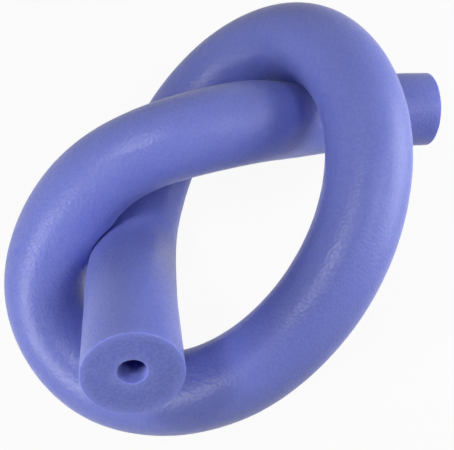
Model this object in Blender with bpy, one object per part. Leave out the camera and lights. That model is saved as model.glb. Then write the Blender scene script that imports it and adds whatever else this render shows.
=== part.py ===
"""A pool noodle tied in an overhand knot and lying on the floor.

The noodle is one length of extruded closed-cell foam tube with a bore from end to end.
The knot's route is a list of points in noodle diameters, so a thicker noodle ties a larger
knot, and a longer noodle has longer straight tails on both sides of the same knot.
"""

import math

import bmesh
import bpy
import numpy as np

# Driving dimensions, in metres
NOODLE_LENGTH = 1.397
NOODLE_DIAMETER = 0.0625
BORE_DIAMETER = 0.018
BORE_OFFSET = 0.0022
RIM_RADIUS = 0.0025
FLOOR_FLAT_DEPTH = 0.0005
CUT_OVERRUN = 0.004

# Counts of the mesh
RING_COUNT = 108
OUTER_SIDES = 28
BORE_SIDES = 10
RIM_STEPS = 3
SAMPLES_PER_SPAN = 60
GAP_SAMPLES = 1300

# The noodle's spare length goes to the front tail by this share, and the rest to the back tail
FRONT_TAIL_SHARE = 0.5

# Points nearer along the noodle than this many diameters belong to one strand
SAME_STRAND_SHARE = 2.0

# Swept caps join their skin within this part of a diameter
WELD_SHARE = 0.0001

# Edges that turn by more than this stay sharp
SHARP_ANGLE = math.radians(50)

# The centre line, from the raised front end to the back end on the floor, in diameters
KNOT_ROUTE_SHARES = [
    # The front tail comes down through the knot to the floor
    (-1.135, -2.12, 2.87),
    (-1.34, -1.20, 1.80),
    (-1.45, -0.40, 0.76),
    (-1.30, 0.55, 0.50),
    # The top loop climbs round the far side
    (-0.85, 1.55, 0.63),
    (0.12, 2.26, 1.12),
    (0.83, 2.05, 1.65),
    # The right strand bridges the back tail
    (1.33, 1.15, 1.98),
    (1.38, 0.20, 2.00),
    (1.10, -0.76, 1.85),
    # The bottom loop passes under the front tail
    (0.40, -1.70, 1.50),
    (-0.70, -2.25, 0.94),
    (-2.07, -1.98, 0.50),
    # The left loop turns back over the front tail
    (-2.60, -1.15, 0.68),
    (-2.30, -0.13, 1.24),
    (-1.75, 0.35, 1.57),
    (-0.75, 0.76, 1.75),
    # The back tail dives under the right strand and lies on the floor
    (0.12, 1.08, 1.48),
    (0.60, 1.29, 1.01),
    (1.30, 1.51, 0.69),
    (1.95, 1.62, 0.566),
    (2.61, 1.68, 0.492),
]

# Foam colour, roughness and metallic value
FOAM_COLOR = (0.168, 0.199, 0.546, 1.0)
FOAM_ROUGHNESS = 0.62
FOAM_METALLIC = 0.0


def clear_scene():
    """Remove every object of the scene."""
    for item in list(bpy.data.objects):
        bpy.data.objects.remove(item, do_unlink=True)


def new_collection(name):
    """Return a new collection linked to the scene."""
    collection = bpy.data.collections.new(name)
    bpy.context.scene.collection.children.link(collection)
    return collection


def foam_material():
    """Return the noodle's coloured foam."""
    material = bpy.data.materials.new("violet_blue_foam")
    material.use_nodes = True
    shader = material.node_tree.nodes["Principled BSDF"]
    shader.inputs["Base Color"].default_value = FOAM_COLOR
    shader.inputs["Roughness"].default_value = FOAM_ROUGHNESS
    shader.inputs["Metallic"].default_value = FOAM_METALLIC
    material.diffuse_color = FOAM_COLOR
    return material


def arc_stations(points):
    """Return the distance along a polyline at each of its points."""
    steps = np.linalg.norm(np.diff(points, axis=0), axis=1)
    return np.concatenate([[0.0], np.cumsum(steps)])


def spline_bends(points, knots):
    """Return the second derivatives of the natural cubic spline at its points."""
    steps = np.diff(knots)
    slopes = np.diff(points, axis=0) / steps[:, None]
    matrix = np.eye(len(points))
    right_side = np.zeros_like(points)
    for i in range(1, len(points) - 1):
        matrix[i, i - 1 : i + 2] = steps[i - 1], 2 * (steps[i - 1] + steps[i]), steps[i]
        right_side[i] = 6 * (slopes[i] - slopes[i - 1])
    return np.linalg.solve(matrix, right_side)


def smooth_route(points):
    """Return close points on the natural cubic spline through the route's own points."""
    knots = arc_stations(points)
    bends = spline_bends(points, knots)
    rows = []
    for i, step in enumerate(np.diff(knots)):
        end_share = np.linspace(0, 1, SAMPLES_PER_SPAN, endpoint=False)[:, None]
        start_share = 1 - end_share
        straight = start_share * points[i] + end_share * points[i + 1]
        start_bend = (start_share**3 - start_share) * bends[i]
        end_bend = (end_share**3 - end_share) * bends[i + 1]
        rows.append(straight + (start_bend + end_bend) * step**2 / 6)
    rows.append(points[-1:])
    return np.concatenate(rows)


class CentreLine:
    """The noodle's centre line: the knot's route between two straight tails.

    A place on it is given by its distance from the noodle's front end.
    """

    def __init__(self, length, diameter):
        route = smooth_route(np.array(KNOT_ROUTE_SHARES) * diameter)
        front_point = route[0] + self.outward(route[0], route[1]) * length
        back_point = route[-1] + self.outward(route[-1], route[-2]) * length
        self.points = np.concatenate([[front_point], route, [back_point]])
        self.stations = arc_stations(self.points)
        knot_length = self.stations[-2] - self.stations[1]
        front_tail = (length - knot_length) * FRONT_TAIL_SHARE
        self.stations -= self.stations[1] - front_tail

    @staticmethod
    def outward(end_point, next_point):
        """Return the direction that carries on straight past an end."""
        direction = end_point - next_point
        return direction / np.linalg.norm(direction)

    def at(self, distances):
        """Return the points at the given distances from the front end."""
        return np.stack([np.interp(distances, self.stations, axis) for axis in self.points.T], axis=1)


def carried_normals(points, first_normal):
    """Carry a normal along a polyline without twisting it."""
    tangents = np.gradient(points, axis=0)
    tangents /= np.linalg.norm(tangents, axis=1)[:, None]
    normals = []
    normal = np.array(first_normal)
    for tangent in tangents:
        normal = normal - np.dot(normal, tangent) * tangent
        normal = normal / np.linalg.norm(normal)
        normals.append(normal)
    return np.array(normals)


def least_strand_gap(points, diameter):
    """Return the least distance between the skins of two strands of the knot."""
    stations = arc_stations(points)
    spans = np.linalg.norm(points[:, None] - points[None], axis=2)
    same_strand = np.abs(stations[:, None] - stations[None]) < SAME_STRAND_SHARE * diameter
    spans[same_strand] = np.inf
    return spans.min() - diameter


def rim_profile():
    """Return distances from the end and radii round one rim, from the skin to the face."""
    profile = []
    for step in range(RIM_STEPS + 1):
        angle = math.pi / 2 * step / RIM_STEPS
        inset = RIM_RADIUS * (1 - math.sin(angle))
        radius = NOODLE_DIAMETER / 2 - RIM_RADIUS * (1 - math.cos(angle))
        profile.append((inset, radius))
    return profile


def outer_profile():
    """Return the distances and radii of the outer skin's rings, from end to end."""
    rim = rim_profile()
    front = [(inset, radius) for inset, radius in reversed(rim)]
    back = [(NOODLE_LENGTH - inset, radius) for inset, radius in rim]
    first, last = front[-1][0], back[0][0]
    body = [(distance, NOODLE_DIAMETER / 2) for distance in np.linspace(first, last, RING_COUNT)[1:-1]]
    return front + body + back


def tube_object(name, points, radii, sides, collection):
    """Sweep a round tube with filled caps along a polyline and return it as a mesh object."""
    curve = bpy.data.curves.new(name + "_route", "CURVE")
    curve.dimensions = "3D"
    curve.bevel_depth = 1.0
    curve.bevel_resolution = (sides - 4) // 2
    curve.use_fill_caps = True
    spline = curve.splines.new("POLY")
    spline.points.add(len(points) - 1)
    for control, point, radius in zip(spline.points, points, radii):
        control.co = (*point, 1.0)
        control.radius = radius
    swept = bpy.data.objects.new(name + "_swept", curve)
    collection.objects.link(swept)
    evaluated = swept.evaluated_get(bpy.context.evaluated_depsgraph_get())
    mesh = bpy.data.meshes.new_from_object(evaluated)
    mesh.name = name
    weld_caps(mesh)
    mesh.shade_smooth()
    mesh.set_sharp_from_angle(angle=SHARP_ANGLE)
    tube = bpy.data.objects.new(name, mesh)
    tube.matrix_world = swept.matrix_world
    collection.objects.link(tube)
    bpy.data.objects.remove(swept, do_unlink=True)
    return tube


def weld_caps(mesh):
    """Join a swept tube's loose caps to its skin."""
    shape = bmesh.new()
    shape.from_mesh(mesh)
    bmesh.ops.remove_doubles(shape, verts=shape.verts, dist=NOODLE_DIAMETER * WELD_SHARE)
    bmesh.ops.recalc_face_normals(shape, faces=shape.faces)
    shape.to_mesh(mesh)
    shape.free()


def bore_cutter(centre_line, collection):
    """Return the bore as a tube that runs past both ends.

    It lies uphill of the middle on the raised front face and keeps to that side of the foam.
    """
    middle = centre_line.at(np.linspace(-CUT_OVERRUN, NOODLE_LENGTH + CUT_OVERRUN, RING_COUNT))
    points = middle + BORE_OFFSET * carried_normals(middle, (0, 0, 1))
    radii = [BORE_DIAMETER / 2] * len(points)
    return tube_object("bore_cutter", points, radii, BORE_SIDES, collection)


def floor_cutter(noodle, collection):
    """Return the block below the floor that presses the noodle's flats."""
    corners = [noodle.matrix_world @ vertex.co for vertex in noodle.data.vertices]
    reach = max(max(abs(corner.x), abs(corner.y)) for corner in corners) + CUT_OVERRUN
    depth = FLOOR_FLAT_DEPTH + CUT_OVERRUN
    bpy.ops.mesh.primitive_cube_add(size=1, location=(0, 0, -depth / 2))
    block = bpy.context.object
    block.name = "floor_cutter"
    block.scale = (2 * reach, 2 * reach, depth)
    bpy.ops.object.transform_apply(location=False, rotation=False, scale=True)
    for owner in list(block.users_collection):
        owner.objects.unlink(block)
    collection.objects.link(block)
    return block


def hide_cutter(cutter):
    """Show a cutter as wires only."""
    cutter.hide_render = True
    cutter.display_type = "WIRE"


def add_cut(piece, cutter):
    """Cut a piece with a cutter."""
    cut = piece.modifiers.new(cutter.name, "BOOLEAN")
    cut.operation = "DIFFERENCE"
    cut.solver = "EXACT"
    cut.object = cutter
    hide_cutter(cutter)


def floor_placement(noodle):
    """Return the shift that centres the noodle on the origin with its flats at floor height."""
    corners = np.array([vertex.co for vertex in noodle.data.vertices])
    low, high = corners.min(axis=0), corners.max(axis=0)
    middle = (low + high) / 2
    return -middle[0], -middle[1], -low[2] - FLOOR_FLAT_DEPTH


def build_noodle(collection, cutters):
    """Build the knotted noodle with its bore, rounded rims and floor flats."""
    centre_line = CentreLine(NOODLE_LENGTH, NOODLE_DIAMETER)
    distances, radii = zip(*outer_profile())
    noodle = tube_object("foam_noodle", centre_line.at(distances), radii, OUTER_SIDES, collection)
    noodle.data.materials.append(foam_material())
    bore = bore_cutter(centre_line, cutters)
    placement = floor_placement(noodle)
    noodle.location = placement
    bore.location = placement
    bpy.context.view_layer.update()
    add_cut(noodle, bore)
    add_cut(noodle, floor_cutter(noodle, cutters))
    return centre_line


def main():
    """Build the noodle and print its least gap between strands."""
    clear_scene()
    collection = new_collection("pool_noodle")
    cutters = new_collection("cutters")
    centre_line = build_noodle(collection, cutters)
    points = centre_line.at(np.linspace(0, NOODLE_LENGTH, GAP_SAMPLES))
    gap = least_strand_gap(points, NOODLE_DIAMETER)
    print(f"least gap between strands: {gap * 1000:.2f} mm")


main()
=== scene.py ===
"""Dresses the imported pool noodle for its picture.

The object is one length of extruded polyethylene foam tube with a bore. It is tied in an overhand
knot and lies on the floor with its front end raised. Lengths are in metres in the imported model's
frame, and a name that ends in _mm is in millimetres.
"""

import logging
import math
from dataclasses import dataclass, field
from enum import Enum
from typing import Any

import bpy
import numpy as np
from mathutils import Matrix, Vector, noise

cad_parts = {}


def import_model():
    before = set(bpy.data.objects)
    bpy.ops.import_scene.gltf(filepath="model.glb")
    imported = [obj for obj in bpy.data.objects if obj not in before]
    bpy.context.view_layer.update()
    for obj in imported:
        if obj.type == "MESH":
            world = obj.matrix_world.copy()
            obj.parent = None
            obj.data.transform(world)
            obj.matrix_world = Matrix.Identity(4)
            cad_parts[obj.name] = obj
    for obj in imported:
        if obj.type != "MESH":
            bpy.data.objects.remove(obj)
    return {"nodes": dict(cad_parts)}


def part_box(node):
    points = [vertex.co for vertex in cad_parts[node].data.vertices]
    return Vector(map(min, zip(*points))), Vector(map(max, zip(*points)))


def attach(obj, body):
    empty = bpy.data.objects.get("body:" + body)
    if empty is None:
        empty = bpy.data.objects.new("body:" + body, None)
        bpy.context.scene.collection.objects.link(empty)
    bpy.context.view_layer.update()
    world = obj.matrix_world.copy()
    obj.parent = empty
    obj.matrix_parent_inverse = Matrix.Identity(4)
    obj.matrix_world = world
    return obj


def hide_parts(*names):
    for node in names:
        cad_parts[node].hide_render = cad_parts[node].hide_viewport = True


log = logging.getLogger("pool_noodle")

CAD_NODE = "foam_noodle"
CAD_BODY = "root"

MM_PER_METRE = 1000

# The picture's width in pixels, by which the camera's focal length is told
PICTURE_WIDTH = 454

# The middle of the knot, where the lamps point
KNOT_MIDDLE = (0.0, 0.0, 0.08)

# The sRGB curve, straight up to its knee and a power of the light above it
SRGB_KNEE = 0.04045
SRGB_SLOPE = 12.92
SRGB_OFFSET = 0.055
SRGB_POWER = 2.4

# The centre line, from the raised front end to the back end on the floor, in diameters
KNOT_ROUTE_SHARES = (
    # The front tail comes down through the knot to the floor
    (-1.135, -2.12, 2.87),
    (-1.34, -1.20, 1.80),
    (-1.45, -0.40, 0.76),
    (-1.30, 0.55, 0.50),
    # The top loop climbs round the far side
    (-0.85, 1.55, 0.63),
    (0.12, 2.26, 1.12),
    (0.83, 2.05, 1.65),
    # The right strand bridges the back tail
    (1.33, 1.15, 1.98),
    (1.38, 0.20, 2.00),
    (1.10, -0.76, 1.85),
    # The bottom loop passes under the front tail
    (0.40, -1.70, 1.50),
    (-0.70, -2.25, 0.94),
    (-2.07, -1.98, 0.50),
    # The left loop turns back over the front tail
    (-2.60, -1.15, 0.68),
    (-2.30, -0.13, 1.24),
    (-1.75, 0.35, 1.57),
    (-0.75, 0.76, 1.75),
    # The back tail dives under the right strand and lies on the floor
    (0.12, 1.08, 1.48),
    (0.60, 1.29, 1.01),
    (1.30, 1.51, 0.69),
    (1.95, 1.62, 0.566),
    (2.61, 1.68, 0.492),
)


def linear(hex_colour: str) -> tuple[float, float, float, float]:
    """Turn an sRGB hex colour into linear light.

    Args:
        hex_colour: the colour as "#rrggbb".

    Returns:
        Red, green, blue and an alpha of 1.
    """
    channels = []
    for start in (1, 3, 5):
        value = int(hex_colour[start : start + 2], 16) / 255
        if value <= SRGB_KNEE:
            channels.append(value / SRGB_SLOPE)
        else:
            channels.append(((value + SRGB_OFFSET) / (1 + SRGB_OFFSET)) ** SRGB_POWER)
    return (*channels, 1.0)


def repeats_of(size_mm: float) -> float:
    """Return the texture scale that gives a pattern features of this size in millimetres."""
    return MM_PER_METRE / size_mm


def add_node(
    tree: bpy.types.NodeTree, kind: str, inputs: dict[Any, Any], **settings: Any
) -> bpy.types.Node:
    """Add a node with its settings, values and links.

    Args:
        tree: the node tree that takes the node.
        kind: the end of the node's Blender class, after "ShaderNode".
        inputs: for each input, by its name or index, a value or the output that feeds it.
        **settings: the node's own settings by attribute name.

    Returns:
        The new node.
    """
    node = tree.nodes.new("ShaderNode" + kind)
    for name, value in settings.items():
        setattr(node, name, value)
    for key, value in inputs.items():
        if isinstance(value, bpy.types.NodeSocket):
            tree.links.new(value, node.inputs[key])
        else:
            node.inputs[key].default_value = value
    return node


class Zone(Enum):
    """The noodle's surfaces, in the order of their material slots."""

    SKIN = 0
    CUT_FACE = 1
    BORE_WALL = 2


@dataclass(frozen=True)
class FoamFinish:
    """A surface of closed-cell polyethylene foam.

    The polymer is waxy and a little translucent, so it has a soft satin gloss, lightens at grazing
    angles and lets light bleed a few millimetres.
    """

    # The polymer's index of refraction, and how much of its mirror gloss the uneven cells leave
    IOR = 1.5
    GLOSS_LEVEL = 0.28
    # The pale veil at grazing angles
    SHEEN_ROUGHNESS = 0.5
    SHEEN_COLOUR = "#d8dcff"
    # How far light bleeds, and the shares of it for red, green and blue
    BLEED = 0.004
    BLEED_SHARES = (0.55, 0.65, 1.0)
    # The pebbles' edges wander by a share of a pebble, in waves a little wider than a pebble
    WANDER = 0.4
    WANDER_WIDTH = 1.7
    PEBBLE_SOFTNESS = 0.8
    # The cell pattern's distances at a pebble's crown and in the hollow round it
    CELL_RANGE = (0.05, 0.75)
    # The broad noise's range, and the shares of plain colour over deep colour that it becomes
    PATCH_RANGE = (0.3, 0.7)
    PLAIN_RANGE = (0.35, 0.75)
    # The pebbles' heights where the painted shade in the hollows begins and where it is full
    HOLLOW_SHADE_RANGE = (0.65, 0.15)
    # The sums of pebbles and broad noise where the surface is roughest and glossiest
    GLOSS_RANGE = (0.4, 1.5)

    name: str
    colour: str
    deep_colour: str
    pale_colour: str
    # The colour and share of the painted shade in the pebbles' hollows
    hollow_shade_colour: str
    hollow_shade_share: float
    pebble_mm: float
    grain_mm: float
    patch_mm: float
    pebble_height_mm: float
    grain_height_mm: float
    roughness: float
    roughness_spread: float
    sheen: float
    # How much of the pale colour the rubbed edges take, partly rubbing and partly painted highlight
    wear_and_highlight_share: float

    def material(self) -> bpy.types.Material:
        """Build the node material.

        Returns:
            The material, whose patterns read Object coordinates and the piece's attribute of rubbing and
            painted highlight.
        """
        material = bpy.data.materials.new(self.name)
        material.use_nodes = True
        tree = material.node_tree
        tree.nodes.clear()
        place = add_node(tree, "TexCoord", {}).outputs["Object"]
        pebbles = self.pebbles(tree, place)
        grain = add_node(
            tree, "TexNoise", {"Vector": place, "Scale": repeats_of(self.grain_mm), "Detail": 1.0}
        ).outputs["Fac"]
        patches = add_node(
            tree, "TexNoise", {"Vector": place, "Scale": repeats_of(self.patch_mm), "Detail": 3.0}
        ).outputs["Fac"]
        wear_and_highlight = add_node(tree, "Attribute", {}, attribute_name=FoamNoodle.WEAR_AND_HIGHLIGHT_ATTRIBUTE).outputs["Fac"]
        shader = add_node(
            tree,
            "BsdfPrincipled",
            {
                "Base Color": self.mottled_colour(tree, pebbles, patches, wear_and_highlight),
                "Roughness": self.uneven_roughness(tree, pebbles, patches),
                "Normal": self.relief(tree, pebbles, grain),
                "IOR": self.IOR,
                "Specular IOR Level": self.GLOSS_LEVEL,
                "Sheen Weight": self.sheen,
                "Sheen Roughness": self.SHEEN_ROUGHNESS,
                "Sheen Tint": linear(self.SHEEN_COLOUR),
                "Subsurface Weight": 1.0,
                "Subsurface Scale": self.BLEED,
                "Subsurface Radius": self.BLEED_SHARES,
            },
        )
        add_node(tree, "OutputMaterial", {"Surface": shader.outputs["BSDF"]})
        material.diffuse_color = linear(self.colour)
        return material

    def pebbles(self, tree: bpy.types.NodeTree, place: bpy.types.NodeSocket) -> bpy.types.NodeSocket:
        """Add the foam's cells as rounded pebbles.

        Args:
            tree: the material's node tree.
            place: the coordinates that the pattern reads.

        Returns:
            The pebbles' height from 0 to 1.
        """
        nudge = add_node(
            tree,
            "TexNoise",
            {"Vector": place, "Scale": repeats_of(self.pebble_mm * self.WANDER_WIDTH), "Detail": 1.0},
        ).outputs["Color"]
        nudged = add_node(
            tree,
            "MixRGB",
            {"Fac": self.WANDER * self.pebble_mm / MM_PER_METRE, "Color1": place, "Color2": nudge},
            blend_type="ADD",
        ).outputs["Color"]
        cells = add_node(
            tree,
            "TexVoronoi",
            {
                "Vector": nudged,
                "Scale": repeats_of(self.pebble_mm),
                "Smoothness": self.PEBBLE_SOFTNESS,
            },
            feature="SMOOTH_F1",
        ).outputs["Distance"]
        crown, hollow = self.CELL_RANGE
        return add_node(
            tree,
            "MapRange",
            {"Value": cells, "From Min": crown, "From Max": hollow, "To Min": 1.0, "To Max": 0.0},
        ).outputs["Result"]

    def mottled_colour(
        self,
        tree: bpy.types.NodeTree,
        pebbles: bpy.types.NodeSocket,
        patches: bpy.types.NodeSocket,
        wear_and_highlight: bpy.types.NodeSocket,
    ) -> bpy.types.NodeSocket:
        """Mix the foam's colour from its cloudy patches, painted shade in its pebbles' hollows, and its
        paler rims, which are partly rubbed and partly a painted highlight.

        Args:
            tree: the material's node tree.
            pebbles: the pebbles' height.
            patches: the broad noise.
            wear_and_highlight: how rubbed the place is and how strong its painted highlight, from 0 to
                1.

        Returns:
            The colour.
        """
        depth = add_node(
            tree,
            "MapRange",
            {
                "Value": patches,
                "From Min": self.PATCH_RANGE[0],
                "From Max": self.PATCH_RANGE[1],
                "To Min": self.PLAIN_RANGE[0],
                "To Max": self.PLAIN_RANGE[1],
            },
        ).outputs["Result"]
        body = add_node(
            tree,
            "MixRGB",
            {"Fac": depth, "Color1": linear(self.deep_colour), "Color2": linear(self.colour)},
        ).outputs["Color"]
        # Painted shade: the pebbles' hollows turn towards the darker hollow colour
        hollow = add_node(
            tree,
            "MapRange",
            {
                "Value": pebbles,
                "From Min": self.HOLLOW_SHADE_RANGE[0],
                "From Max": self.HOLLOW_SHADE_RANGE[1],
                "To Min": 0.0,
                "To Max": self.hollow_shade_share,
            },
        ).outputs["Result"]
        hollow_shaded = add_node(
            tree,
            "MixRGB",
            {"Fac": hollow, "Color1": body, "Color2": linear(self.hollow_shade_colour)},
        ).outputs["Color"]
        # Paler at the rims and the bore's lip: partly rubbing, partly a painted highlight on the rounded
        # edges
        rubbed_and_highlit = add_node(
            tree, "Math", {0: wear_and_highlight, 1: self.wear_and_highlight_share}, operation="MULTIPLY"
        ).outputs["Value"]
        return add_node(
            tree,
            "MixRGB",
            {"Fac": rubbed_and_highlit, "Color1": hollow_shaded, "Color2": linear(self.pale_colour)},
        ).outputs["Color"]

    def uneven_roughness(
        self, tree: bpy.types.NodeTree, pebbles: bpy.types.NodeSocket, patches: bpy.types.NodeSocket
    ) -> bpy.types.NodeSocket:
        """Make the pebbles' crowns a little glossier than the hollows between them.

        Args:
            tree: the material's node tree.
            pebbles: the pebbles' height.
            patches: the broad noise.

        Returns:
            The roughness.
        """
        both = add_node(tree, "Math", {0: pebbles, 1: patches}, operation="ADD").outputs["Value"]
        return add_node(
            tree,
            "MapRange",
            {
                "Value": both,
                "From Min": self.GLOSS_RANGE[0],
                "From Max": self.GLOSS_RANGE[1],
                "To Min": self.roughness + self.roughness_spread,
                "To Max": self.roughness - self.roughness_spread,
            },
        ).outputs["Result"]

    def relief(
        self, tree: bpy.types.NodeTree, pebbles: bpy.types.NodeSocket, grain: bpy.types.NodeSocket
    ) -> bpy.types.NodeSocket:
        """Raise the pebbles and the fine grain on the surface.

        Args:
            tree: the material's node tree.
            pebbles: the pebbles' height.
            grain: the fine noise.

        Returns:
            The bumped normal.
        """
        fine = add_node(
            tree,
            "Bump",
            {"Height": grain, "Strength": 1.0, "Distance": self.grain_height_mm / MM_PER_METRE},
        )
        coarse = add_node(
            tree,
            "Bump",
            {
                "Height": pebbles,
                "Strength": 1.0,
                "Distance": self.pebble_height_mm / MM_PER_METRE,
                "Normal": fine.outputs["Normal"],
            },
        )
        return coarse.outputs["Normal"]


# The extruder's die and the air chill the melt, which leaves a satin skin with the outer cells
# showing through it as soft pebbles that break up its highlights. The real cells are about 1 mm
# wide, hardly more than a pixel of the picture, so every finish draws them coarser
EXTRUDED_SKIN = FoamFinish(
    name="extruded_foam_skin",
    colour="#7882ce",
    deep_colour="#6f79c5",
    pale_colour="#98a0e6",
    # Painted shade in the pebbles' hollows
    hollow_shade_colour="#646eba",
    hollow_shade_share=0.3,
    pebble_mm=2.1,
    grain_mm=1.2,
    patch_mm=45.0,
    pebble_height_mm=0.19,
    grain_height_mm=0.05,
    roughness=0.36,
    roughness_spread=0.06,
    sheen=0.05,
    wear_and_highlight_share=0.1,
)

# A knife opens the cells, so a cut face is matt, and its pebbles' hollows are darkened with painted
# shade into small dark speckles
CUT_FOAM = FoamFinish(
    name="knife_cut_foam",
    colour="#737ec7",
    deep_colour="#6772bb",
    pale_colour="#98a0e6",
    hollow_shade_colour="#5963b3",
    hollow_shade_share=0.45,
    pebble_mm=1.9,
    grain_mm=0.8,
    patch_mm=9.0,
    pebble_height_mm=0.2,
    grain_height_mm=0.06,
    roughness=0.75,
    roughness_spread=0.08,
    sheen=0.1,
    wear_and_highlight_share=0.3,
)

# The mandrel leaves the bore's wall rougher than the skin. Its colours are painted paler than the
# skin's, as painted light in the shaded bore
MANDREL_SKIN_PAINTED_PALER = FoamFinish(
    name="mandrel_drawn_bore_skin_painted_paler",
    colour="#8088d8",
    deep_colour="#727acb",
    pale_colour="#98a0e6",
    # Painted shade in the pebbles' hollows
    hollow_shade_colour="#6870bc",
    hollow_shade_share=0.4,
    pebble_mm=3.4,
    grain_mm=1.0,
    patch_mm=20.0,
    pebble_height_mm=0.25,
    grain_height_mm=0.05,
    roughness=0.66,
    roughness_spread=0.08,
    sheen=0.1,
    wear_and_highlight_share=0.12,
)


class CentreLine:
    """The noodle's centre line: the knot's route between two straight tails."""

    SAMPLES_PER_SPAN = 60
    FRONT_TAIL_SHARE = 0.5

    def __init__(self, length: float, diameter: float) -> None:
        """Run the spline through the route's points and measure it.

        Args:
            length: the noodle's whole length.
            diameter: the noodle's diameter, which the route's shares are in.
        """
        route = self.smooth_route(np.array(KNOT_ROUTE_SHARES) * diameter)
        front_point = route[0] + self.outward(route[0], route[1]) * length
        back_point = route[-1] + self.outward(route[-1], route[-2]) * length
        self.points = np.concatenate([[front_point], route, [back_point]])
        self.stations = self.arc_stations(self.points)
        knot_length = self.stations[-2] - self.stations[1]
        self.stations -= self.stations[1] - (length - knot_length) * self.FRONT_TAIL_SHARE

    @staticmethod
    def outward(end_point: np.ndarray, next_point: np.ndarray) -> np.ndarray:
        """Return the unit direction that carries on straight past an end, away from its neighbour."""
        direction = end_point - next_point
        return direction / np.linalg.norm(direction)

    @staticmethod
    def arc_stations(points: np.ndarray) -> np.ndarray:
        """Return the distance along a polyline at each of its points."""
        steps = np.linalg.norm(np.diff(points, axis=0), axis=1)
        return np.concatenate([[0.0], np.cumsum(steps)])

    @staticmethod
    def spline_bends(points: np.ndarray, knots: np.ndarray) -> np.ndarray:
        """Solve the natural cubic spline's second derivatives.

        Args:
            points: the points that the spline passes through.
            knots: the distance along the points at each of them.

        Returns:
            The second derivative at each point.
        """
        steps = np.diff(knots)
        slopes = np.diff(points, axis=0) / steps[:, None]
        matrix = np.eye(len(points))
        right_side = np.zeros_like(points)
        for i in range(1, len(points) - 1):
            matrix[i, i - 1 : i + 2] = steps[i - 1], 2 * (steps[i - 1] + steps[i]), steps[i]
            right_side[i] = 6 * (slopes[i] - slopes[i - 1])
        return np.linalg.solve(matrix, right_side)

    @classmethod
    def smooth_route(cls, points: np.ndarray) -> np.ndarray:
        """Run a natural cubic spline through the route's own points.

        Args:
            points: the route's own points.

        Returns:
            Close points on the spline.
        """
        knots = cls.arc_stations(points)
        bends = cls.spline_bends(points, knots)
        rows = []
        for i, step in enumerate(np.diff(knots)):
            end_share = np.linspace(0, 1, cls.SAMPLES_PER_SPAN, endpoint=False)[:, None]
            start_share = 1 - end_share
            straight = start_share * points[i] + end_share * points[i + 1]
            start_bend = (start_share**3 - start_share) * bends[i]
            end_bend = (end_share**3 - end_share) * bends[i + 1]
            rows.append(straight + (start_bend + end_bend) * step**2 / 6)
        rows.append(points[-1:])
        return np.concatenate(rows)

    def at(self, distances: np.ndarray) -> np.ndarray:
        """Return the centre line's points at the given distances from the front end."""
        return np.stack([np.interp(distances, self.stations, axis) for axis in self.points.T], axis=1)


@dataclass
class RingTrack:
    """The rings of the noodle's closed surface, in order round its wall.

    They run from the front rim over the skin to the back rim, across the back face, through the bore
    to the front and across the front face to the front rim again.
    """

    distance: np.ndarray
    radius: np.ndarray
    bore_share: np.ndarray
    wear_and_highlight: np.ndarray
    zone: np.ndarray


@dataclass(frozen=True)
class Swell:
    """A place where a tight bend makes the round foam oval, so that it bulges sideways.

    The distance is from the front end, and left and right are as seen by someone who walks along the
    noodle from there.
    """

    distance: float
    reach: float
    left: float
    right: float


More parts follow.
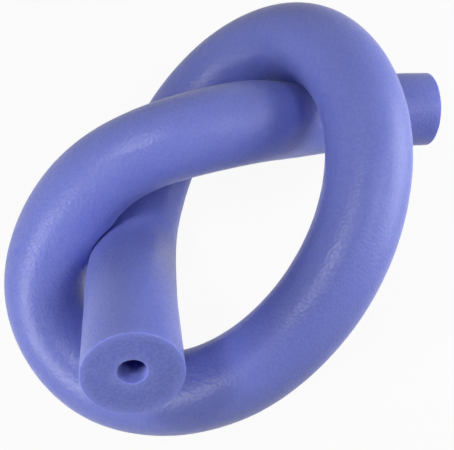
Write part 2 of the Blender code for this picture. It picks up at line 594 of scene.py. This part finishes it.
@dataclass
class FoamNoodle:
    """The knotted noodle: skin, cut faces and bore in one closed foam piece."""

    length: float = 1.397
    diameter: float = 0.0625
    bore_diameter: float = 0.018
    bore_offset: float = 0.0022
    rim_radius: float = 0.0006
    lip_radius: float = 0.0006
    # The reach and strength of the paler rims and lip: partly rubbing, partly painted highlight
    wear_and_highlight_reach: float = 0.004
    rim_wear_and_highlight: float = 1.0
    lip_wear_and_highlight: float = 0.8
    floor_flat_depth: float = 0.0005
    contact_gap: float = 0.0008
    contact_fade: float = 0.0030
    # In diameters: how near another strand's centre line matters, and the stretch that is its own
    strand_reach: float = 1.3
    own_stretch: float = 2.0
    swells: tuple[Swell, ...] = (
        Swell(distance=0.134, reach=0.080, left=0.0034, right=0.0029),
        Swell(distance=1.034, reach=0.075, left=0.0, right=0.0036),
        Swell(distance=1.205, reach=0.085, left=0.0, right=0.0031),
        Swell(distance=1.375, reach=0.080, left=0.0026, right=0.0001),
    )
    sides: int = 104
    skin_rings: int = 750
    bore_rings: int = 110
    face_rings: int = 12
    rim_steps: int = 6
    lip_steps: int = 4
    wave_mm: float = 55.0
    wave_height_mm: float = 0.35
    dimple_mm: float = 7.0
    dimple_height_mm: float = 0.08
    face_dimple_mm: float = 3.5
    face_dimple_height_mm: float = 0.12
    mouth_length: float = 0.04
    centre_line: CentreLine = field(init=False)
    track: RingTrack = field(init=False)
    centres: np.ndarray = field(init=False)
    normals: np.ndarray = field(init=False)
    side_normals: np.ndarray = field(init=False)

    # The attribute that holds the rims' and lip's rubbing and painted highlight
    WEAR_AND_HIGHLIGHT_ATTRIBUTE = "rim_wear_and_highlight"
    FRAME_STEPS_PER_RING = 4
    LEAST_LENGTH = 1e-12
    # The map for baking has the skin and the bore in strips, with gaps between them
    BAKE_MAP = "OFBake"
    BAKE_STRIPS = 3
    BAKE_GAP = 0.004
    BAKE_BORE_WIDTH = 0.018

    def build(self) -> bpy.types.Object:
        """Make the noodle's mesh and dress it.

        Returns:
            The finished piece at the origin, with its place in its mesh.
        """
        self.centre_line = CentreLine(self.length, self.diameter)
        self.track = self.ring_track()
        self.centres, self.normals, self.side_normals = self.ring_frames()
        grid = self.placed(self.ring_points())
        grid = self.swollen(grid)
        grid = self.uneven(grid)
        grid = self.pressed(grid)
        piece = self.closed_mesh(grid)
        self.lay_out_bake_map(piece.data)
        self.mark_wear_and_highlight(piece.data)
        for finish in (EXTRUDED_SKIN, CUT_FOAM, MANDREL_SKIN_PAINTED_PALER):
            piece.data.materials.append(finish.material())
        return piece

    def ring_track(self) -> RingTrack:
        """Lay out the rings round the foam's wall.

        Returns:
            Each ring's distance from the front end, radius, share of the bore's offset, rubbing and
            painted highlight, and zone.
        """
        rows = []
        outer = self.diameter / 2
        bore = self.bore_diameter / 2
        rim_edge = self.rounded_edge(self.rim_radius, self.rim_steps)
        lip_edge = self.rounded_edge(self.lip_radius, self.lip_steps)
        rim = [(inset, outer - drop) for inset, drop in rim_edge]
        lip = [(inset, bore + drop) for inset, drop in lip_edge]
        rows += [(inset, radius, 0.0, self.rim_wear_and_highlight, Zone.SKIN) for inset, radius in reversed(rim)]
        body = np.linspace(self.rim_radius, self.length - self.rim_radius, self.skin_rings)[1:-1]
        rows += [(distance, outer, 0.0, self.rubbed_and_highlit(distance), Zone.SKIN) for distance in body]
        rows += [(self.length - inset, radius, 0.0, self.rim_wear_and_highlight, Zone.SKIN) for inset, radius in rim]
        shares = np.linspace(0, 1, self.face_rings + 2)[1:-1]
        face_outer, face_inner = rim[-1][1], lip[-1][1]
        across = [(face_outer + (face_inner - face_outer) * share, share) for share in shares]
        rows += [
            (self.length, radius, share, self.face_wear_and_highlight(radius), Zone.CUT_FACE)
            for radius, share in across
        ]
        rows += [
            (self.length - inset, radius, 1.0, self.lip_wear_and_highlight, Zone.CUT_FACE)
            for inset, radius in reversed(lip)
        ]
        rows += [
            (distance, bore, 1.0, 0.0, Zone.BORE_WALL) for distance in reversed(self.bore_distances())
        ]
        rows += [(inset, radius, 1.0, self.lip_wear_and_highlight, Zone.CUT_FACE) for inset, radius in lip]
        rows += [
            (0.0, radius, share, self.face_wear_and_highlight(radius), Zone.CUT_FACE)
            for radius, share in reversed(across)
        ]
        distance, radius, bore_share, wear_and_highlight, zone = zip(*rows)
        return RingTrack(
            distance=np.array(distance),
            radius=np.array(radius),
            bore_share=np.array(bore_share),
            wear_and_highlight=np.array(wear_and_highlight),
            zone=np.array([part.value for part in zone]),
        )

    @staticmethod
    def rounded_edge(radius: float, steps: int) -> list[tuple[float, float]]:
        """Return a rounded edge's insets along and across the noodle, from its side to its face."""
        turn = np.linspace(0, math.pi / 2, steps + 1)
        return [(radius * (1 - math.sin(angle)), radius * (1 - math.cos(angle))) for angle in turn]

    def rubbed_and_highlit(self, distance: float) -> float:
        """Return the rubbing and painted highlight at a way along the surface from an edge, from 1 there
        to 0 well away.
        """
        from_end = min(distance, self.length - distance)
        return math.exp(-((from_end / self.wear_and_highlight_reach) ** 2))

    def face_wear_and_highlight(self, radius: float) -> float:
        """Rub a cut face and paint a highlight on it along its rim and, less, round the bore's lip.

        Args:
            radius: the place's distance from the face's middle.

        Returns:
            The wear, from 0 to 1.
        """
        rim = self.rubbed_and_highlit(self.diameter / 2 - radius)
        lip = self.rubbed_and_highlit(radius - self.bore_diameter / 2)
        return max(rim, self.lip_wear_and_highlight * lip)

    def bore_distances(self) -> list[float]:
        """Space the bore's rings, close together near the mouths.

        Returns:
            Their distances from the front end.
        """
        back_mouth = self.length - self.mouth_length
        mouth = np.linspace(self.lip_radius, self.mouth_length, self.bore_rings // 4)[1:]
        middle = np.linspace(self.mouth_length, back_mouth, self.bore_rings // 2)[1:-1]
        return [*mouth, *middle, *(self.length - mouth[::-1])]

    def ring_frames(self) -> tuple[np.ndarray, np.ndarray, np.ndarray]:
        """Carry a frame along the centre line without twisting it.

        Returns:
            Each ring's centre and its two unit directions across the noodle.
        """
        steps = self.FRAME_STEPS_PER_RING * self.skin_rings
        fine = np.linspace(-self.lip_radius, self.length + self.lip_radius, steps)
        points = self.centre_line.at(fine)
        tangents = np.gradient(points, axis=0)
        tangents /= np.linalg.norm(tangents, axis=1)[:, None]
        carried = []
        normal = np.array((0.0, 0.0, 1.0))
        for tangent in tangents:
            normal = normal - np.dot(normal, tangent) * tangent
            normal = normal / np.linalg.norm(normal)
            carried.append(normal)
        carried = np.array(carried)
        across = np.cross(tangents, carried)
        picked = [
            np.stack([np.interp(self.track.distance, fine, axis) for axis in table.T], axis=1)
            for table in (carried, across)
        ]
        normals, side_normals = (table / np.linalg.norm(table, axis=1)[:, None] for table in picked)
        return self.centre_line.at(self.track.distance), normals, side_normals

    def ring_points(self) -> np.ndarray:
        """Sweep the rings along the centre line.

        Returns:
            The smooth surface's points, ring by ring.
        """
        angles = np.linspace(0, 2 * math.pi, self.sides, endpoint=False)
        shift = (self.track.bore_share * self.bore_offset)[:, None] * self.normals
        centres = self.centres + shift
        across = (
            np.cos(angles)[None, :, None] * self.normals[:, None]
            + np.sin(angles)[None, :, None] * self.side_normals[:, None]
        )
        return centres[:, None] + self.track.radius[:, None, None] * across

    def placed(self, grid: np.ndarray) -> np.ndarray:
        """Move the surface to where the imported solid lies, a flat's depth into the floor.

        Args:
            grid: the surface's points, ring by ring.

        Returns:
            The moved points. The centre line moves with them.
        """
        low, high = (np.array(corner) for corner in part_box(CAD_NODE))
        own_low, own_high = grid.min(axis=(0, 1)), grid.max(axis=(0, 1))
        shift = (low + high) / 2 - (own_low + own_high) / 2
        shift[2] = -self.floor_flat_depth - own_low[2]
        self.centres = self.centres + shift
        return grid + shift

    def surface_normals(self, grid: np.ndarray) -> np.ndarray:
        """Work out the normals of a closed grid of points.

        Args:
            grid: the points, ring by ring.

        Returns:
            The outward unit normals.
        """
        along = np.roll(grid, -1, axis=0) - np.roll(grid, 1, axis=0)
        around = np.roll(grid, -1, axis=1) - np.roll(grid, 1, axis=1)
        normals = np.cross(around, along)
        return normals / np.maximum(np.linalg.norm(normals, axis=2), self.LEAST_LENGTH)[:, :, None]

    def uneven(self, grid: np.ndarray) -> np.ndarray:
        """Give the foam its slow waves and shallow dimples.

        Args:
            grid: the smooth surface's points.

        Returns:
            The points moved along their normals.
        """
        normals = self.surface_normals(grid)
        moved = grid.copy()
        wave = repeats_of(self.wave_mm)
        for i, zone in enumerate(self.track.zone):
            is_skin = zone == Zone.SKIN.value
            dimple = repeats_of(self.dimple_mm if is_skin else self.face_dimple_mm)
            height = (self.dimple_height_mm if is_skin else self.face_dimple_height_mm) / MM_PER_METRE
            slow_height = self.wave_height_mm / MM_PER_METRE if is_skin else 0.0
            for j in range(self.sides):
                point = Vector(grid[i, j])
                lift = slow_height * noise.noise(point * wave) + height * noise.noise(point * dimple)
                moved[i, j] += normals[i, j] * lift
        return moved

    def swollen(self, grid: np.ndarray) -> np.ndarray:
        """Bulge the foam sideways where its bends make it oval.

        Args:
            grid: the round noodle's points.

        Returns:
            The points, moved sideways by up to each swell's height.
        """
        tangents = np.cross(self.normals, self.side_normals)
        sideways = np.cross(tangents, (0.0, 0.0, 1.0))
        sideways /= np.linalg.norm(sideways, axis=1)[:, None]
        offsets = np.einsum("ijk,ik->ij", grid - self.centres[:, None], sideways) / (self.diameter / 2)
        swollen = grid.copy()
        for swell in self.swells:
            reach = np.clip(np.abs(self.track.distance - swell.distance) / swell.reach, 0, 1)
            share = np.cos(reach * math.pi / 2) ** 2 * (self.track.bore_share == 0)
            amounts = np.where(offsets > 0, swell.right, swell.left) * offsets
            swollen += (amounts * share[:, None])[:, :, None] * sideways[:, None]
        return swollen

    def pressed(self, grid: np.ndarray) -> np.ndarray:
        """Flatten the foam where it presses on the floor and where two strands press on each other.

        Skins that nearly touch swell to the middle between their strands, and skins that would pass
        it stop there.

        Args:
            grid: the uneven surface's points.

        Returns:
            The points, none of which lies below the floor or past the middle between two strands.
        """
        skin = np.flatnonzero(self.track.zone == Zone.SKIN.value)
        centres = self.centres[skin]
        stations = self.track.distance[skin]
        pressed = grid.copy()
        for i in skin:
            other = np.abs(stations - self.track.distance[i]) > self.own_stretch * self.diameter
            spacing = np.linalg.norm(centres - self.centres[i], axis=1)
            near = other & (spacing < self.strand_reach * self.diameter)
            if not near.any():
                continue
            ways = centres[near][None] - grid[i][:, None]
            spans = np.linalg.norm(ways, axis=2)
            nearest = spans.argmin(axis=1)
            span = spans.min(axis=1)
            toward = ways[np.arange(self.sides), nearest] / span[:, None]
            gap = span - np.linalg.norm(grid[i] - self.centres[i], axis=1)
            fade = np.clip((self.contact_fade - gap) / (self.contact_fade - self.contact_gap), 0, 1)
            pressed[i] += toward * (gap / 2 * fade * fade * (3 - 2 * fade))[:, None]
        pressed[:, :, 2] = np.maximum(pressed[:, :, 2], 0.0)
        return pressed

    def closed_mesh(self, grid: np.ndarray) -> bpy.types.Object:
        """Join the rings into one closed mesh.

        Args:
            grid: the finished surface's points.

        Returns:
            The piece with smooth shading and a material slot number on every face.
        """
        rings = len(grid)
        ring, side = np.meshgrid(np.arange(rings), np.arange(self.sides), indexing="ij")
        next_ring, next_side = (ring + 1) % rings, (side + 1) % self.sides
        corners = np.stack(
            [
                ring * self.sides + side,
                ring * self.sides + next_side,
                next_ring * self.sides + next_side,
                next_ring * self.sides + side,
            ],
            axis=2,
        ).reshape(-1, 4)
        mesh = bpy.data.meshes.new("noodle_foam")
        mesh.from_pydata(grid.reshape(-1, 3), [], corners.tolist())
        mesh.polygons.foreach_set("material_index", self.face_zones().repeat(self.sides))
        mesh.shade_smooth()
        mesh.validate()
        mesh.update()
        piece = bpy.data.objects.new("noodle_foam", mesh)
        bpy.context.scene.collection.objects.link(piece)
        return piece

    def face_zones(self) -> np.ndarray:
        """Sort the bands of faces by surface.

        Returns:
            The zone's number for the band that starts at each ring.
        """
        zone = self.track.zone
        following = np.roll(zone, -1)
        cut = Zone.CUT_FACE.value
        return np.where((zone == cut) | (following == cut), cut, zone).astype(np.int32)

    def lay_out_bake_map(self, mesh: bpy.types.Mesh) -> None:
        """Pack the surface's strips and faces into the unit square for baking.

        The skin's strips stand side by side. Above them lie the bore's strips and, beside these, the
        two cut faces. The bore's bands are long, so a strip's ends hold back those that would pass them.

        Args:
            mesh: the noodle's mesh.
        """
        strips, gap, bore_width = self.BAKE_STRIPS, self.BAKE_GAP, self.BAKE_BORE_WIDTH
        skin_width = math.pi * self.diameter
        strip_length = self.length / strips
        top = strip_length + 2 * gap
        face_middle = top + self.diameter / 2
        distances = self.track.distance
        bands = len(distances)
        zones = self.face_zones()
        layout = np.zeros((bands, self.sides, 4, 2))
        for band in range(bands):
            after = (band + 1) % bands
            middle = (distances[band] + distances[after]) / 2
            strip = min(int(middle / strip_length), strips - 1)
            face_column = face_middle + (self.diameter + gap) * (middle > self.length / 2)
            for corner, (right, ring) in enumerate(((0, band), (1, band), (1, after), (0, after))):
                turns = (np.arange(self.sides) + right) / self.sides
                along = gap + distances[ring] - strip * strip_length
                places = layout[band, :, corner]
                if zones[band] == Zone.SKIN.value:
                    places[:, 0] = gap + strip * (skin_width + gap) + turns * skin_width
                    places[:, 1] = along
                elif zones[band] == Zone.BORE_WALL.value:
                    places[:, 0] = min(max(along, gap), gap + strip_length)
                    places[:, 1] = top + strip * (bore_width + gap) + turns * bore_width
                else:
                    radius = self.radius_on_map(ring)
                    places[:, 0] = face_column + radius * np.cos(2 * math.pi * turns)
                    places[:, 1] = face_middle + radius * np.sin(2 * math.pi * turns)
        self.write_map(mesh, self.BAKE_MAP, layout / (strips * (skin_width + gap) + gap))

    def radius_on_map(self, ring: int) -> float:
        """Return a cut face's radius at a ring as laid out flat, so that the bore's lip runs inwards."""
        inset = min(self.track.distance[ring], self.length - self.track.distance[ring])
        return self.track.radius[ring] - (inset if self.track.bore_share[ring] == 1.0 else 0.0)

    @staticmethod
    def write_map(mesh: bpy.types.Mesh, name: str, corners: np.ndarray) -> None:
        """Store a UV map from its values at every face's four corners."""
        layer = mesh.uv_layers.new(name=name)
        layer.uv.foreach_set("vector", corners.astype(np.float32).ravel())

    def mark_wear_and_highlight(self, mesh: bpy.types.Mesh) -> None:
        """Store how rubbed and how highlighted with painted light each point of the mesh is, for the
        finishes to read.
        """
        layer = mesh.attributes.new(self.WEAR_AND_HIGHLIGHT_ATTRIBUTE, "FLOAT", "POINT")
        layer.data.foreach_set("value", self.track.wear_and_highlight.repeat(self.sides).astype(np.float32))


@dataclass(frozen=True)
class SoftBox:
    """A rectangular studio lamp behind a diffuser."""

    name: str
    place: tuple[float, float, float]
    width: float
    height: float
    watts: float
    aim: tuple[float, float, float] = KNOT_MIDDLE

    def build(self) -> bpy.types.Object:
        """Hang the lamp where it is unseen by the camera itself.

        Returns:
            The lamp's object.
        """
        lamp = bpy.data.lights.new(self.name, "AREA")
        lamp.shape = "RECTANGLE"
        lamp.size = self.width
        lamp.size_y = self.height
        lamp.energy = self.watts
        holder = bpy.data.objects.new(self.name, lamp)
        bpy.context.scene.collection.objects.link(holder)
        holder.location = self.place
        direction = Vector(self.aim) - Vector(self.place)
        holder.rotation_euler = direction.to_track_quat("-Z", "Y").to_euler()
        holder.visible_camera = False
        return holder


@dataclass(frozen=True)
class Studio:
    """A white floor under soft light."""

    floor_size: float = 12.0
    floor_colour: str = "#c8c8c8"
    glow_share: float = 0.93
    sky_colour: str = "#ffffff"
    sky_light: float = 0.03
    boxes: tuple[SoftBox, ...] = (
        SoftBox("right_soft_box", (0.72, 0.08, 0.31), 0.65, 0.5, 5.5),
        SoftBox("left_soft_box", (-0.26, -0.03, 0.72), 0.14, 0.14, 1.9),
        SoftBox("front_left_strip", (-0.57, -0.40, 0.40), 0.22, 0.36, 3.0),
        SoftBox("high_right_soft_box", (0.45, -0.08, 0.85), 0.2, 0.2, 1.5),
    )

    def build(self) -> None:
        """Lay the floor, hang the lamps and light the world."""
        self.lay_floor()
        for box in self.boxes:
            box.build()
            log.info("lamp %s: %.1f W", box.name, box.watts)
        self.light_world()

    @staticmethod
    def seen_directly(tree: bpy.types.NodeTree) -> bpy.types.NodeSocket:
        """Tell direct sight from light's bounces.

        Args:
            tree: the node tree that takes the nodes.

        Returns:
            1 for rays from the camera, off a mirror or through glass, and 0 for the others.
        """
        rays = add_node(tree, "LightPath", {}).outputs
        mirrored = add_node(
            tree, "Math", {0: rays["Is Camera Ray"], 1: rays["Is Glossy Ray"]}, operation="MAXIMUM"
        ).outputs["Value"]
        return add_node(
            tree, "Math", {0: mirrored, 1: rays["Is Transmission Ray"]}, operation="MAXIMUM"
        ).outputs["Value"]

    def lay_floor(self) -> None:
        """Lay the white floor, which keeps the noodle's shadow."""
        bpy.ops.object.select_all(action="DESELECT")
        bpy.ops.mesh.primitive_plane_add(size=self.floor_size, location=(0, 0, 0))
        floor = bpy.context.object
        floor.name = "floor"
        material = bpy.data.materials.new("white_floor")
        material.use_nodes = True
        tree = material.node_tree
        tree.nodes.clear()
        matt = add_node(tree, "BsdfDiffuse", {"Color": linear(self.floor_colour)}).outputs["BSDF"]
        glow = add_node(
            tree, "Emission", {"Color": linear(self.sky_colour), "Strength": 1.0}
        ).outputs["Emission"]
        share = add_node(
            tree, "Math", {0: self.seen_directly(tree), 1: self.glow_share}, operation="MULTIPLY"
        ).outputs["Value"]
        mixed = add_node(tree, "MixShader", {0: share, 1: matt, 2: glow}).outputs["Shader"]
        add_node(tree, "OutputMaterial", {"Surface": mixed})
        floor.data.materials.append(material)

    def light_world(self) -> None:
        """Surround the scene with even light that looks white where it is seen directly."""
        world = bpy.data.worlds.new("studio")
        world.use_nodes = True
        bpy.context.scene.world = world
        tree = world.node_tree
        tree.nodes.clear()
        strength = add_node(
            tree,
            "MapRange",
            {"Value": self.seen_directly(tree), "To Min": self.sky_light, "To Max": 1.0},
        ).outputs["Result"]
        sky = add_node(
            tree, "Background", {"Color": linear(self.sky_colour), "Strength": strength}
        ).outputs["Background"]
        add_node(tree, "OutputWorld", {"Surface": sky})


@dataclass(frozen=True)
class PictureCamera:
    """The camera at the photograph's place, looking down from in front."""

    place: tuple[float, float, float] = (-0.0022, -0.1457, 0.5708)
    tilt_degrees: float = 14.92
    focal_pixels: float = 650.0
    sensor_width_mm: float = 36.0
    nearest: float = 0.01

    def build(self) -> bpy.types.Object:
        """Set the camera up as the scene's own.

        Returns:
            The camera's object.
        """
        lens = bpy.data.cameras.new("picture_camera")
        lens.sensor_fit = "HORIZONTAL"
        lens.sensor_width = self.sensor_width_mm
        lens.lens = self.focal_pixels / PICTURE_WIDTH * self.sensor_width_mm
        lens.clip_start = self.nearest
        holder = bpy.data.objects.new("picture_camera", lens)
        bpy.context.scene.collection.objects.link(holder)
        holder.location = self.place
        holder.rotation_euler = (math.radians(self.tilt_degrees), 0.0, 0.0)
        bpy.context.scene.camera = holder
        return holder


def main() -> None:
    """Load the frame, build and dress the noodle, and set up its picture."""
    logging.basicConfig(level=logging.INFO, format="%(message)s")
    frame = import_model()
    log.info("frame: %s", ", ".join(frame["nodes"]))
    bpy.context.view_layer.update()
    bpy.context.scene.view_settings.view_transform = "Standard"
    PictureCamera().build()
    noodle = FoamNoodle().build()
    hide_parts(CAD_NODE)
    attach(noodle, CAD_BODY)
    log.info("piece %s: %d faces", noodle.name, len(noodle.data.polygons))
    Studio().build()


if __name__ == "__main__":
    main()
